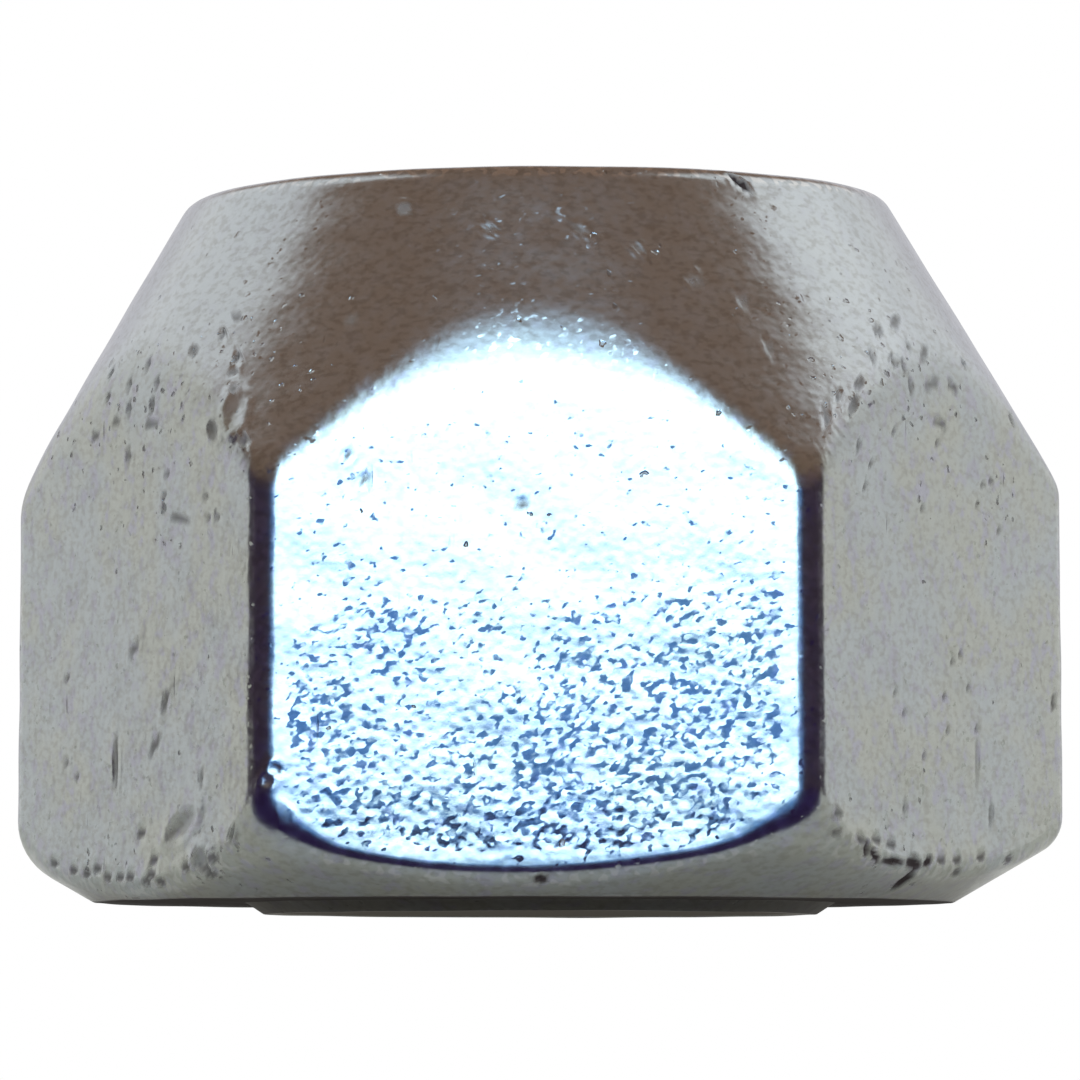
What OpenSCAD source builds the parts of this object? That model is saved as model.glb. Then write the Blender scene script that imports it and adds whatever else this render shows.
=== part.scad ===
// Open-ended wheel lug nut: one forged and tapped piece.
// A hexagon for the wheel brace carries a cone that centres the wheel on its stud.
// The nut stands on its brace end. The origin is the centre of that end, +Z runs along the
// bore towards the cone, two flats of the hexagon face -Y and +Y, and two corners lie on X.

/* [Hexagon] */
// Width across the flats, which is the size of the wheel brace
hex_af = 21; // [21:0.5:22.5]
// Diameter over the six turned corners
corner_d = 24.1; // [23:0.05:24.2]
// Overall height, from the washer face to the nose
nut_h = 16.5; // [16:0.1:22]

/* [Cone seat] */
// Included angle of the cone that seats in the wheel
seat_angle = 60; // [58:1:64]
// Diameter of the nose, where the lines of the cone and the end face cross
nose_d = 16; // [15.4:0.1:16.8]
// Radius that rounds the rim of the nose
nose_r = 0.6; // [0.2:0.1:0.8]
// Radius that softens the cone's crossings with the flats and with the corners
crown_r = 2.6; // [1.6:0.2:3.2]

/* [Brace end] */
// Diameter of the end face inside the chamfer
end_face_d = 19.2; // [18:0.1:20]
// Angle of the chamfer, measured from the end face
chamfer_angle = 30; // [20:1:34]
// Radius that rounds the rim of the end face
end_r = 0.2; // [0.1:0.05:0.3]
// Diameter of the raised washer face round the bore
washer_d = 12.7; // [12.7:0.1:15]
// Height that the washer face stands proud of the end face
washer_h = 0.26; // [0.1:0.02:0.4]
// Width of the slope round the washer face
washer_slope = 0.4; // [0.1:0.1:0.8]

/* [Thread] */
// Nominal diameter of the wheel stud
thread_d = 12; // [10:0.5:12]
// Pitch of the stud's thread
thread_pitch = 1.5; // [1:0.25:1.75]
// Extra diameter of the countersink at the nose, past the thread
nose_sink = 0.6; // [0.2:0.1:1]
// Extra diameter of the countersink in the washer face, past the thread
washer_sink = 0.1; // [0.1:0.1:0.6]
// Included angle of both countersinks
sink_angle = 90; // [60:5:120]

/* [Hidden] */
$fn = 96;

zinc_steel = [0.62, 0.62, 0.60];
lap = 0.3;                                    // how far bars and cutters run past the solid

nose_y = nose_d / 2;
half_seat = seat_angle / 2;
corner_y = corner_d / 2;

// Minor diameter of an internal metric thread: nominal less 1.0825 pitches.
bore_r = (thread_d - 1.0825 * thread_pitch) / 2;
nose_sink_r = (thread_d + nose_sink) / 2;
washer_sink_r = (thread_d + washer_sink) / 2;

// Direction from one point to another.
function way(from, to) = let (leg = [to.x - from.x, to.y - from.y]) leg / norm(leg);

// Height at which the cone's line stands at that reach from the axis.
function cone_z(reach) = nut_h - (reach - nose_y) / tan(half_seat);

// Outline whose corners are [x, y, radius]. A corner with a radius is convex, and is cut back
// to where its circle touches the two sides.
module soft_outline(corners) {
    n = len(corners);
    cuts = [for (i = [0 : n - 1])
        let (at = corners[i], to_last = way(at, corners[(i + n - 1) % n]),
             to_next = way(at, corners[(i + 1) % n]), half = acos(to_last * to_next) / 2)
        [[at.x, at.y], at[2], to_last, to_next, half]];
    polygon([for (cut = cuts, leg = cut[1] > 0 ? [cut[2], cut[3]] : [[0, 0]])
        cut[0] + cut[1] / tan(cut[4]) * leg]);
    for (cut = cuts) if (cut[1] > 0)
        translate(cut[0] + cut[1] / sin(cut[4]) * (cut[2] + cut[3]) / norm(cut[2] + cut[3]))
            circle(r = cut[1]);
}

// Half of the turned blank's section: radius along X, height along Y. It runs from the low
// washer face up round the chamfer, the corners' shoulder, the cone and the nose.
module blank_section() {
    soft_outline([
        [0, 0, 0],
        [washer_d / 2, 0, 0],
        [washer_d / 2 + washer_slope, washer_h, 0],
        [end_face_d / 2, washer_h, end_r],
        [corner_y, washer_h + (corner_y - end_face_d / 2) * tan(chamfer_angle), 0],
        [corner_y, cone_z(corner_y), crown_r],
        [nose_y, nut_h, nose_r],
        [0, nut_h, 0],
    ]);
}

module turned_blank() {
    rotate_extrude() blank_section();
}

// Hexagonal bar with flats that face -Y and +Y.
module hexagon_bar() {
    translate([0, 0, -lap]) cylinder(h = nut_h + 2 * lap, r = hex_af / 2 / cos(30), $fn = 6);
}

// One pair of flats seen end on: upright sides that lean in along an arc near the cone.
module crowned_pair_section() {
    lean = half_seat - 3;                     // just steeper than the cone, so that it clears it
    knee_z = cone_z(hex_af / 2) - crown_r * (tan(half_seat / 2) - tan(lean / 2));
    roof_z = nut_h + lap;
    roof_y = hex_af / 2 - (roof_z - knee_z) * tan(lean);
    soft_outline([
        [-hex_af / 2, -lap, 0],
        [hex_af / 2, -lap, 0],
        [hex_af / 2, knee_z, crown_r],
        [roof_y, roof_z, 0],
        [-roof_y, roof_z, 0],
        [-hex_af / 2, knee_z, crown_r],
    ]);
}

// A bar of that section, run along X past the hexagon's corners.
module crowned_pair() {
    rotate([90, 0, 90]) linear_extrude(2 * corner_d, center = true) crowned_pair_section();
}

// Bore at the thread's minor diameter, with a countersink at each end.
module bore() {
    slope = tan(sink_angle / 2);
    washer_sink_h = (washer_sink_r - bore_r) / slope;
    nose_sink_h = (nose_sink_r - bore_r) / slope;
    translate([0, 0, -lap]) cylinder(h = nut_h + 2 * lap, r = bore_r);
    translate([0, 0, -lap])
        cylinder(h = washer_sink_h + lap, r1 = washer_sink_r + lap * slope, r2 = bore_r);
    translate([0, 0, nut_h - nose_sink_h])
        cylinder(h = nose_sink_h + lap, r1 = bore_r, r2 = nose_sink_r + lap * slope);
}

module lug_nut() {
    color(zinc_steel) difference() {
        intersection() {
            turned_blank();
            hexagon_bar();
            crowned_pair();
            rotate(60) crowned_pair();
            rotate(120) crowned_pair();
        }
        bore();
    }
}

lug_nut();
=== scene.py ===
"""Dressed model of an open-ended wheel lug nut: the nut's worn skin and thread, and its stage."""

import math

import bpy
import numpy as np
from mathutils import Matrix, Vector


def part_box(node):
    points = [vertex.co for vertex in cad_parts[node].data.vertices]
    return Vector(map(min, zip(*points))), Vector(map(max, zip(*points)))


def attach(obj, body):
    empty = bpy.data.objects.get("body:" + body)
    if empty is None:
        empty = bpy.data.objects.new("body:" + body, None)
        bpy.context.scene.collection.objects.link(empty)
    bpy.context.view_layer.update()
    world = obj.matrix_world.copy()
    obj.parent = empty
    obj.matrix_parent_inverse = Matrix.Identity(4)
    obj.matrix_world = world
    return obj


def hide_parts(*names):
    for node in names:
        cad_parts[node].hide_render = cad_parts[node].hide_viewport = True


bl_info = {
    "name": "Lug Nut",
    "version": (1, 0, 0),
    "blender": (4, 5, 0),
    "location": "View3D > Sidebar > Lug Nut",
    "description": "Builds a worn, zinc plated wheel lug nut, and a stage to show it on",
    "category": "Object",
}

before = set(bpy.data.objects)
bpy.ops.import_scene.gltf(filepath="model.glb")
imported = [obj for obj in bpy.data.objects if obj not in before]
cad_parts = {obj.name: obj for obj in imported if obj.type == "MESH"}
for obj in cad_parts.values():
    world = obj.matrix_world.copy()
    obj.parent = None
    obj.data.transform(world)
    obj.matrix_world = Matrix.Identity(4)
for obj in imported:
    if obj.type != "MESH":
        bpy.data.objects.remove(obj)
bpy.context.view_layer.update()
NODE = "lug_nut"
NODE_LOW, NODE_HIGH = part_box(NODE)

MM = 0.001

WHITE = (1.0, 1.0, 1.0)
BLACK = (0.0, 0.0, 0.0)

# Reach of the floor and of the card from the nut, the card's columns and rows, and the place
# and the width of the soft lamp, all in metres.
FLOOR_HALF = 0.6
CARD_RADIUS = 0.45
CARD_GRID = (61, 17)
LAMP_PLACE = (0.37, 0.15, 0.30)
LAMP_SIZE = 0.25

# What the card shows, by parts of the unit direction from the nut, from where it begins to
# where it is whole. The card's own edge goes by the direction's scalar product with CARD_LEAN,
# and a gap overhead by its x, without the sign, and its y. Then the grey behind, the front,
# the brown over the dark, the window's foot, top and side, and the top and the side of the
# blue at its foot. The window dims towards its top by a power.
CARD_LEAN = (0.04, 1.0, 0.47)
CARD_EDGE = (0.385, 0.45)
OVERHEAD_SIDE = (0.26, 0.42)
OVERHEAD_BACK = (0.78, 0.92)
BEHIND = (0.7, 0.9)
FRONT = (0.0, -0.3)
DARK_TOP = (0.12, 0.45)
WINDOW_FOOT = (-0.08, 0.11)
WINDOW_TOP = (0.48, 0.92)
WINDOW_SIDE = (0.2, 0.36)
WINDOW_FADE = 1.9
BLUE_TOP = (0.11, 0.16)
BLUE_EDGE = (0.4, 0.55)

# The painted reflection that the metal sees in the floor, by y in metres: where its painted cool
# tint begins, where the painted dark line begins and ends, and where the painted glow of the
# window's light begins. The line's side is by x without its sign, and the slant of the dark to
# either side by that x over y.
COOL_FLOOR = (-0.009, -0.02)
DARK_LINE_NEAR = (-0.0112, -0.0118)
DARK_LINE_FAR = (-0.0165, -0.0215)
DARK_LINE_SIDE = (0.0066, 0.0084)
DARK_SLANT = (-0.3, -0.5)
GLOW = (-0.06, -0.34)
GLOW_SHARE = 0.35

SECTORS = 6
SECTOR = 2 * math.pi / SECTORS

# Wear of the six corners, from the one on +X round: the radius of the upright corner as a
# share of the corner radius, its rounding at the brace end in millimetres, and its rounding
# under the cone as a share of the shoulder radius. Then, at the brace end, the rounding of a
# flat and of the three edges inside it in millimetres, and how far round the nut a corner's
# rounding reaches. Last, the height at which a flat has its full reach.
CORNER_WEAR = (1.0, 1.0, 1.0, 1.0, 1.15, 1.2)
HEEL_WEAR = (0.9, 0.9, 0.8, 1.5, 1.9, 1.7)
SHOULDER_WEAR = (0.4, 0.9, 1.1, 1.0, 1.0, 1.0)
HEEL_FLAT = 0.55
END_RADII = (0.06, 0.1, 0.2)
HEEL_ZONE = math.radians(5)
FLAT_FOOT = 1.0 * MM

# Azimuth steps in each sixth of the nut, from the corner on +X round by +Y. The flat that
# faces -Y and its two neighbours have the most.
SECTOR_STEPS = (52, 52, 52, 90, 112, 90)
CORNER_STEPS = 5
CORNER_ZONE = math.radians(2.1)

# The thread: columns, lines for each pitch, its depth, its root and its crest as shares of the
# pitch, how far its end rings stand from the ends, and how soft it meets the countersinks.
THREAD_STEPS = sum(SECTOR_STEPS) // 4
LINES_PER_PITCH = 16
THREAD_DEPTH = 0.54127
THREAD_ROOT = 1 / 8
THREAD_CREST = 1 / 4
THREAD_FOOT = 0.04 * MM
THREAD_SOFT = 0.02 * MM

# Rows along each straight run and each rounded corner of the section, from the mouth of the
# washer face to the mouth of the nose.
RUN_ROWS = (2, 3, 8, 12, 64, 34, 5)
ARC_ROWS = (2, 2, 4, 8, 18, 8)


# ---------------------------------------------------------------- sizes and colours

def length(name, description, value_mm, low_mm=0.0, high_mm=40.0):
    """Property for a length that is given here in millimetres and kept in metres."""
    return bpy.props.FloatProperty(
        name=name, description=description, default=value_mm * MM, min=low_mm * MM,
        max=high_mm * MM, unit="LENGTH", precision=5)


def angle(name, description, degrees, low=-180.0, high=180.0):
    """Property for an angle that is given here in degrees and kept in radians."""
    return bpy.props.FloatProperty(
        name=name, description=description, default=math.radians(degrees),
        min=math.radians(low), max=math.radians(high), subtype="ANGLE")


def number(name, description, value, high=1.0):
    """Property for a plain number from 0 up."""
    return bpy.props.FloatProperty(
        name=name, description=description, default=value, min=0.0, max=high)


def colour(name, description, rgb):
    """Property for a linear colour."""
    return bpy.props.FloatVectorProperty(
        name=name, description=description, default=rgb, size=3, min=0.0, max=1.0,
        subtype="COLOR")


class LugNutSizes(bpy.types.PropertyGroup):
    """Sizes of the nut, with the box of the solid for the outer ones."""
    across_flats: length("Across flats", "Width of the hexagon", 2 * NODE_HIGH[1] / MM)
    corner_radius: length("Corner radius", "Radius of the six upright corners", 0.7)
    height: length("Height", "From the washer face to the nose", NODE_HIGH[2] / MM)
    seat_angle: angle("Seat angle", "Included angle of the cone", 60.0, 40.0, 90.0)
    seat_lean: angle("Seat lean", "How much wider the cone's slope is at +X", 1.3, 0.0, 5.0)
    nose: length("Nose", "Diameter where cone and end face cross", 16.0)
    nose_radius: length("Nose radius", "Rounding of the nose's rim", 0.6)
    crown_radius: length("Crown radius", "Rounding between the cone and a flat", 5.0)
    shoulder_radius: length("Shoulder radius", "Rounding between the cone and a corner", 2.2)
    end_face: length("End face", "Diameter of the face inside the chamfer", 19.7)
    chamfer_angle: angle("Chamfer angle", "Slope of the chamfer", 30.0, 5.0, 60.0)
    washer: length("Washer face", "Diameter of the raised ring", 12.7)
    washer_slope: length("Washer slope", "Width of the ring's slope", 0.4)
    washer_height: length("Washer height", "How far the ring stands proud", 0.26)
    draft: angle("Draft", "Lean of the flats, wider at the brace end", 0.32, 0.0, 2.0)
    nose_shift: length("Nose shift", "How far the cone sits off the axis", -0.1, -1.0)
    nose_tip: length("Nose tip", "Half the difference in height across the nose", 0.08)
    end_shift: length("End shift", "How far the chamfer sits off the axis", -0.375, -1.0)
    thread: length("Thread", "Nominal diameter of the thread", 12.0)
    pitch: length("Pitch", "Pitch of the thread", 1.5)
    nose_mouth: length("Nose mouth", "Diameter of the countersink at the nose", 12.6)
    washer_mouth: length("Washer mouth", "Diameter of the countersink at the washer", 12.1)


class LugNutFinish(bpy.types.PropertyGroup):
    """Colours and finish of the plated steel and its thread."""
    zinc: colour("Zinc", "Plating of the flats and the end", (0.362, 0.392, 0.395))
    zinc_warm: colour("Warm zinc", "Plating where it has yellowed", (0.368, 0.385, 0.350))
    zinc_cool: colour("Cool zinc", "Plating where it shows lilac", (0.360, 0.365, 0.41))
    seat: colour("Seat", "Plating that the wheel has burnished", (0.465, 0.50, 0.525))
    speckle: colour("Speckle", "Fine darker specks in the plating", (0.21, 0.20, 0.17))
    # The pits' colour is also that of the painted shade at the brace end.
    pit: colour("Pits", "Dirt in the pits", (0.034, 0.026, 0.028))
    rubbed: colour("Rubbed", "Steel bared on the edges", (0.66, 0.66, 0.65))
    thread_steel: colour("Thread", "Dull steel of the thread", (0.30, 0.29, 0.27))
    roughness: number("Roughness", "Roughness of the plating", 0.2)


class LugNutStage(bpy.types.PropertyGroup):
    """Floor, light and camera."""
    floor: colour("Floor", "Pale floor", (0.82, 0.82, 0.81))
    # What the metal sees of the floor is painted: its colour, a glow that lifts the shadow, a cool
    # tint and glow before the nut in place of the window's light, and a dark line close before it.
    floor_seen: colour("Floor in metal", "The floor's lit part as the metal sees it",
                       (0.58, 0.60, 0.59))
    floor_cool: colour("Cool floor", "The same before the nut, under the cool window",
                       (0.11, 0.36, 0.95))
    floor_lift: colour("Floor lift", "Paleness that the metal sees even in the shadow",
                       (0.18, 0.17, 0.155))
    cool_lift: colour("Cool lift", "The same before the nut", (0.07, 0.12, 0.26))
    floor_dark: colour("Dark line", "The same close before the nut", (0.04, 0.02, 0.10))
    room: colour("Room", "Light that falls on matt surfaces", (1.0, 1.0, 1.0))
    dim_side: colour("Dim side", "Room on the camera's side", (0.285, 0.190, 0.140))
    dark_side: colour("Dark side", "The same near the floor", (0.075, 0.052, 0.09))
    back_side: colour("Back side", "The room behind the nut", (0.72, 0.71, 0.75))
    blue_side: colour("Blue side", "The same at the window's foot", (0.15, 0.38, 0.98))
    window: colour("Window", "Cool soft light over the camera", (0.55, 0.79, 1.0))
    window_strength: number("Window strength", "Strength of the cool light", 6.5, 20.0)
    key_light: colour("Key light", "Soft lamp behind the nut, on the right", (1.0, 1.0, 0.96))
    key_power: number("Key power", "Power of the soft lamp in watts", 0.04, 10.0)
    camera_distance: length("Camera distance", "From the nut's axis", 177.0, 50.0, 1000.0)
    camera_height: length("Camera height", "Above the washer face", -2.3, -50.0, 200.0)
    camera_turn: angle("Camera turn", "Round the nut, to the right", 0.47)
    aim_height: length("Aim height", "Height on the axis that the camera aims at", 8.62)
    half_field: angle("Half field", "Half the angle that the camera sees", 4.01, 1.0, 40.0)


# ---------------------------------------------------------------- the nut's outer skin

def azimuth_ring():
    """Azimuths of the outer columns. In each sector: close steps over the rounded half of each
    corner, and even steps between the two."""
    parts = []
    for sector, steps in enumerate(SECTOR_STEPS):
        marks = [0, CORNER_STEPS, steps - CORNER_STEPS, steps]
        places = [0, CORNER_ZONE, SECTOR - CORNER_ZONE, SECTOR]
        parts.append(sector * SECTOR + np.interp(np.arange(steps), marks, places))
    return np.concatenate(parts)


def nearest_corner(azimuth):
    """Number of the nearest corner, from the one on +X round by +Y."""
    return np.rint(azimuth / SECTOR).astype(int) % SECTORS


def hexagon_reach(azimuth, sizes):
    """Reach of the rounded hexagon from the axis: half the width across flats over the cosine
    of the angle from the flat's middle, or near a corner the far side of its circle. It also
    returns the angle from the nearest corner."""
    from_corner = np.mod(azimuth + SECTOR / 2, SECTOR) - SECTOR / 2
    apothem = sizes.across_flats / 2
    flat = apothem / np.cos(SECTOR / 2 - np.abs(from_corner))
    round_r = sizes.corner_radius * np.array(CORNER_WEAR)[nearest_corner(azimuth)]
    centre = (apothem - round_r) / math.cos(SECTOR / 2)
    under = np.maximum(round_r ** 2 - (centre * np.sin(from_corner)) ** 2, 0)
    arc = centre * np.cos(from_corner) + np.sqrt(under)
    tangent = np.arctan2(round_r * math.sin(SECTOR / 2), centre + round_r * math.cos(SECTOR / 2))
    return np.where(np.abs(from_corner) < tangent, arc, flat), np.abs(from_corner)


def soft_section(corners, radii):
    """Points along an open outline with rounded corners, for every azimuth at once.
    Each corner's circle touches both its sides: the setback along a side is the radius times
    the tangent of half the turn, and the arc sweeps the turn about the circle's centre."""
    rows = []
    start = corners[0]
    for last, at, after, radius, run, arc in zip(
            corners, corners[1:], corners[2:], radii, RUN_ROWS, ARC_ROWS):
        lead = (at - last) / np.linalg.norm(at - last, axis=1)[:, None]
        leave = (after - at) / np.linalg.norm(after - at, axis=1)[:, None]
        turn = np.arctan2(lead[:, 0] * leave[:, 1] - lead[:, 1] * leave[:, 0],
                          (lead * leave).sum(1))
        setback = (radius * np.tan(np.abs(turn) / 2))[:, None]
        touch = at - setback * lead
        share = np.linspace(0, 1, run, endpoint=False)[None, :, None]
        rows.append(start[:, None] * (1 - share) + touch[:, None] * share)
        side = np.stack([-lead[:, 1], lead[:, 0]], 1) * (radius * np.sign(turn))[:, None]
        sweep = turn[:, None] * np.linspace(0, 1, arc, endpoint=False)[None, :]
        cos, sin = np.cos(sweep), np.sin(sweep)
        spoke = -side
        rows.append(np.stack([
            (touch + side)[:, :1] + cos * spoke[:, :1] - sin * spoke[:, 1:],
            (touch + side)[:, 1:] + sin * spoke[:, :1] + cos * spoke[:, 1:]], 2))
        start = at + setback * leave
    share = np.linspace(0, 1, RUN_ROWS[-1] + 1)[None, :, None]
    rows.append(start[:, None] * (1 - share) + corners[-1][:, None] * share)
    return np.concatenate(rows, 1)


def skin_section(azimuth, sizes):
    """Reach and height of the skin's rows at each azimuth: washer face, its slope, end face,
    chamfer, flat, cone and nose land, with a rounded corner between each two.
    The flats lean in by the draft, and the cone and the chamfer sit a little off the axis."""
    one = np.ones_like(azimuth)
    reach, from_corner = hexagon_reach(azimuth, sizes)
    seat = np.tan(sizes.seat_angle / 2 + sizes.seat_lean * np.maximum(np.cos(azimuth), 0) ** 4)
    slope = math.tan(sizes.chamfer_angle)
    lean = math.tan(sizes.draft) * reach / (sizes.across_flats / 2)
    nose_r = sizes.nose / 2 + sizes.nose_shift * np.cos(azimuth)
    nose_z = sizes.height + sizes.nose_tip * (np.cos(azimuth) - 1)
    end_r = sizes.end_face / 2 + sizes.end_shift * np.cos(azimuth)
    widest = reach + FLAT_FOOT * lean
    chamfer_z = (sizes.washer_height + (widest - end_r) * slope) / (1 + lean * slope)
    cone_z = (nose_z - (widest - nose_r) / seat) / (1 - lean / seat)
    corners = [np.stack([r * one, z * one], 1) for r, z in (
        (sizes.washer_mouth / 2, 0),
        (sizes.washer / 2, 0),
        (sizes.washer / 2 + sizes.washer_slope, sizes.washer_height),
        (end_r, sizes.washer_height),
        (reach - lean * (chamfer_z - FLAT_FOOT), chamfer_z),
        (reach - lean * (cone_z - FLAT_FOOT), cone_z),
        (nose_r, nose_z),
        (sizes.nose_mouth / 2, nose_z))]
    to_middle = from_corner / (SECTOR / 2)
    corner = nearest_corner(azimuth)
    shoulder = sizes.shoulder_radius * np.array(SHOULDER_WEAR)[corner]
    crown = shoulder + (sizes.crown_radius - shoulder) * to_middle
    # At the brace end the corners are worn rounder than the flats.
    near = np.exp(-(from_corner / HEEL_ZONE) ** 2)
    heel = (HEEL_FLAT + (np.array(HEEL_WEAR)[corner] - HEEL_FLAT) * near) * MM
    radii = [radius * MM * one for radius in END_RADII]
    return soft_section(corners, radii + [heel, crown, sizes.nose_radius * one])


def row_starts():
    """First row of each run and of each arc of the section."""
    runs, arcs, row = [], [], 0
    for run, arc in zip(RUN_ROWS, ARC_ROWS + (0,)):
        runs.append(row)
        arcs.append(row + run)
        row += run + arc
    return runs, arcs


def smooth_step(value):
    """0 below 0, 1 above 1, and 3v^2 - 2v^3 between."""
    value = np.clip(value, 0, 1)
    return value * value * (3 - 2 * value)


def skin_grid(sizes):
    """Points of the skin, columns by rows, before wear. Towards both mouths the columns slide
    from the hexagon's azimuths to even ones, so that the thread can join them."""
    azimuth = azimuth_ring()
    section = skin_section(azimuth, sizes)
    even = np.linspace(0, 2 * math.pi, len(azimuth), endpoint=False)
    row = np.arange(section.shape[1])
    runs, arcs = row_starts()
    slide = (1 - smooth_step((row - runs[1]) / (arcs[2] - runs[1]))
             + smooth_step((row - runs[5]) / (len(row) - 1 - runs[5])))
    turned = azimuth[:, None] * (1 - slide) + even[:, None] * slide
    return np.stack([section[..., 0] * np.cos(turned), section[..., 0] * np.sin(turned),
                     section[..., 1]], 2)


def grid_slopes(values):
    """Differences of a grid that closes round its columns, across them and along the rows."""
    return np.roll(values, -1, 0) - np.roll(values, 1, 0), np.gradient(values, axis=1)


def grid_normals(points):
    """Unit normals of a grid: the cross product of its two differences."""
    normal = np.cross(*grid_slopes(points))
    return normal / np.maximum(np.linalg.norm(normal, axis=2, keepdims=True), 1e-12)


# ---------------------------------------------------------------- wear

# The coarse grain of the flats: its top beside a corner, how much lower it is in the middle
# of a flat, how much its top tilts, up towards the next corner, how far it fades, over how
# many rows it begins above the chamfer, how strong it is on each flat, from the one between
# the corner on +X and the next towards +Y, and how strong it is on the crown.
COARSE_TOP = 11.0 * MM
COARSE_DIP = 1.8 * MM
COARSE_LEAN = 0.9 * MM
COARSE_FADE = 6.8 * MM
COARSE_FOOT = 3
COARSE_FACES = (0.35, 0.6, 0.4, 0.12, 1.0, 0.12)
COARSE_CROWN = 0.3

# Where pits crowd together: azimuth and height of the middle, and the spread in millimetres.
PIT_FIELDS = (
    (211.4, 11.69, 1.9), (191.0, 10.48, 1.2), (230.0, 12.0, 1.2), (323.9, 11.97, 2.0),
    (204.6, 0.76, 1.1), (229.7, 0.97, 1.0), (319.2, 1.35, 1.1), (240.6, 12.04, 0.8),
    (305.6, 11.16, 0.9), (303.0, 13.2, 0.7), (218.0, 8.9, 0.9), (343.0, 9.4, 1.1),
    (70.0, 11.5, 2.0), (128.0, 3.0, 1.6), (20.0, 12.4, 1.2))

# For each mask of the skin, where it begins and over how much it grows: the wear by the
# skin's bend in radians per millimetre, the seat, and the crown's foot and top, by the rise
# of the normal, and the coarse grain beside a corner by the angle from it in degrees.
WEAR_BEND = (0.25, 1.2)
SEAT_RISE = (0.2, 0.25)
CROWN_RISE = (0.1, 0.15)
CROWN_END = (0.49, 0.06)
CORNER_EDGE = (2.2, 2.0)


def turn_between(azimuth, other):
    """Angle in degrees from one azimuth to another, the short way round."""
    return np.mod(azimuth - other + 180, 360) - 180


def grow(value, start, width):
    """Smooth step of a value, from a start over a width."""
    return smooth_step((value - start) / width)


def skin_masks(points, normals):
    """Four masks for the finish, by name. Wear is high where the surface turns: along the
    corners, the crossings and the rims. Pitting is a sum of soft round fields. Seat is 1 where
    the normal rises, on the cone and the nose. Coarse is high low on the flats, but not at
    their rims, and on the crown between a flat and the cone."""
    turns, steps = (np.linalg.norm(grid_slopes(part), axis=3) for part in (normals, points))
    bend = (turns / np.maximum(steps, 1e-9)).max(0)
    azimuth = np.degrees(np.arctan2(points[..., 1], points[..., 0]))
    reach = np.hypot(points[..., 0], points[..., 1])
    pitting = np.zeros_like(reach)
    for at_azimuth, at_height, spread in PIT_FIELDS:
        round_mm = np.radians(turn_between(azimuth, at_azimuth)) * reach / MM
        gap = np.hypot(round_mm, points[..., 2] / MM - at_height)
        pitting += np.exp(-(gap / spread) ** 2)
    from_corner = np.abs(np.mod(azimuth + 30, 60) - 30)
    face = np.array(COARSE_FACES)[np.floor(np.mod(azimuth, 360) / 60).astype(int) % SECTORS]
    top = (COARSE_TOP - COARSE_DIP * (from_corner / 30) ** 2
           + COARSE_LEAN * (np.mod(azimuth, 60) / 30 - 1))
    flat_rows = np.arange(points.shape[1]) - row_starts()[0][4]
    coarse = (face * smooth_step((top - points[..., 2]) / COARSE_FADE)
              * smooth_step(flat_rows / COARSE_FOOT) * grow(from_corner, *CORNER_EDGE))
    rising = normals[..., 2]
    coarse += (COARSE_CROWN * grow(rising, *CROWN_RISE)
               * smooth_step((CROWN_END[0] - rising) / CROWN_END[1]))
    return {"wear": grow(bend * MM, *WEAR_BEND), "pitting": np.clip(pitting, 0, 1),
            "seat": grow(rising, *SEAT_RISE), "coarse": coarse}


# Marks on the skin: azimuth and height of the middle, length, width and depth in millimetres,
# the angle of the length from level, the height of the raised rim as a share of the depth,
# and how dirty the mark is.
MARKS = (
    (233.7, 10.93, 1.01, 0.62, 0.05, -72, 0.5, 0.1),
    (230.4, 10.51, 0.58, 0.42, 0.07, -66, 0.3, 0.5),
    (236.5, 10.23, 0.35, 0.3, 0.05, -47, 0.3, 0.7),
    (303.8, 16.17, 0.75, 0.24, 0.13, -48, 0.15, 1),
    (223.6, 1.87, 1.57, 0.52, 0.08, 21, 0.3, 0.35),
    (205.7, 3.29, 1.31, 0.22, 0.05, -87, 0.2, 0.6), (219.3, 4.7, 0.68, 0.24, 0.05, 60, 0.5, 0.6),
    (216.1, 3.66, 0.69, 0.24, 0.04, 40, 0.3, 0.6), (210.4, 5.89, 0.63, 0.24, 0.04, 34, 0.4, 0.5),
    (228.3, 2.84, 0.39, 0.22, 0.04, -79, 0.2, 0.5), (227.9, 1.04, 0.78, 0.62, 0.09, 0, 0.4, 0.35),
    (310.4, 1.34, 0.42, 0.28, 0.08, -60, 0.2, 1), (312.7, 1.16, 0.7, 0.2, 0.08, -33, 0.2, 1),
    (316.8, 1.06, 1.1, 0.19, 0.08, -3, 0.2, 1), (321.6, 1.05, 0.8, 0.3, 0.09, -6, 0.2, 1),
    (325, 1.06, 0.42, 0.22, 0.08, 15, 0.2, 1), (322.3, 0.67, 0.95, 0.36, 0.12, -84, 0.2, 1),
    (356.9, 4.87, 0.33, 0.28, 0.05, -75, 0.2, 0.7),
    (342.2, 2.14, 0.63, 0.24, 0.04, -84, 0.2, 0.45),
    (338.6, 3.39, 1.23, 0.22, 0.03, 87, 0.1, 0.3), (319.6, 2.24, 0.32, 0.22, 0.04, 90, 0.2, 0.6),
    (222.9, 8.67, 0.97, 0.24, 0.04, -7, 0.2, 0.6), (270.4, 0.62, 0.3, 0.3, 0.07, 0, 0.2, 1),
    (242.7, 2.05, 0.3, 0.3, 0.07, 0, 0.6, 0.1), (250.3, 15.42, 0.36, 0.36, 0.03, 0, 0.9, 0.3),
)

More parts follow.
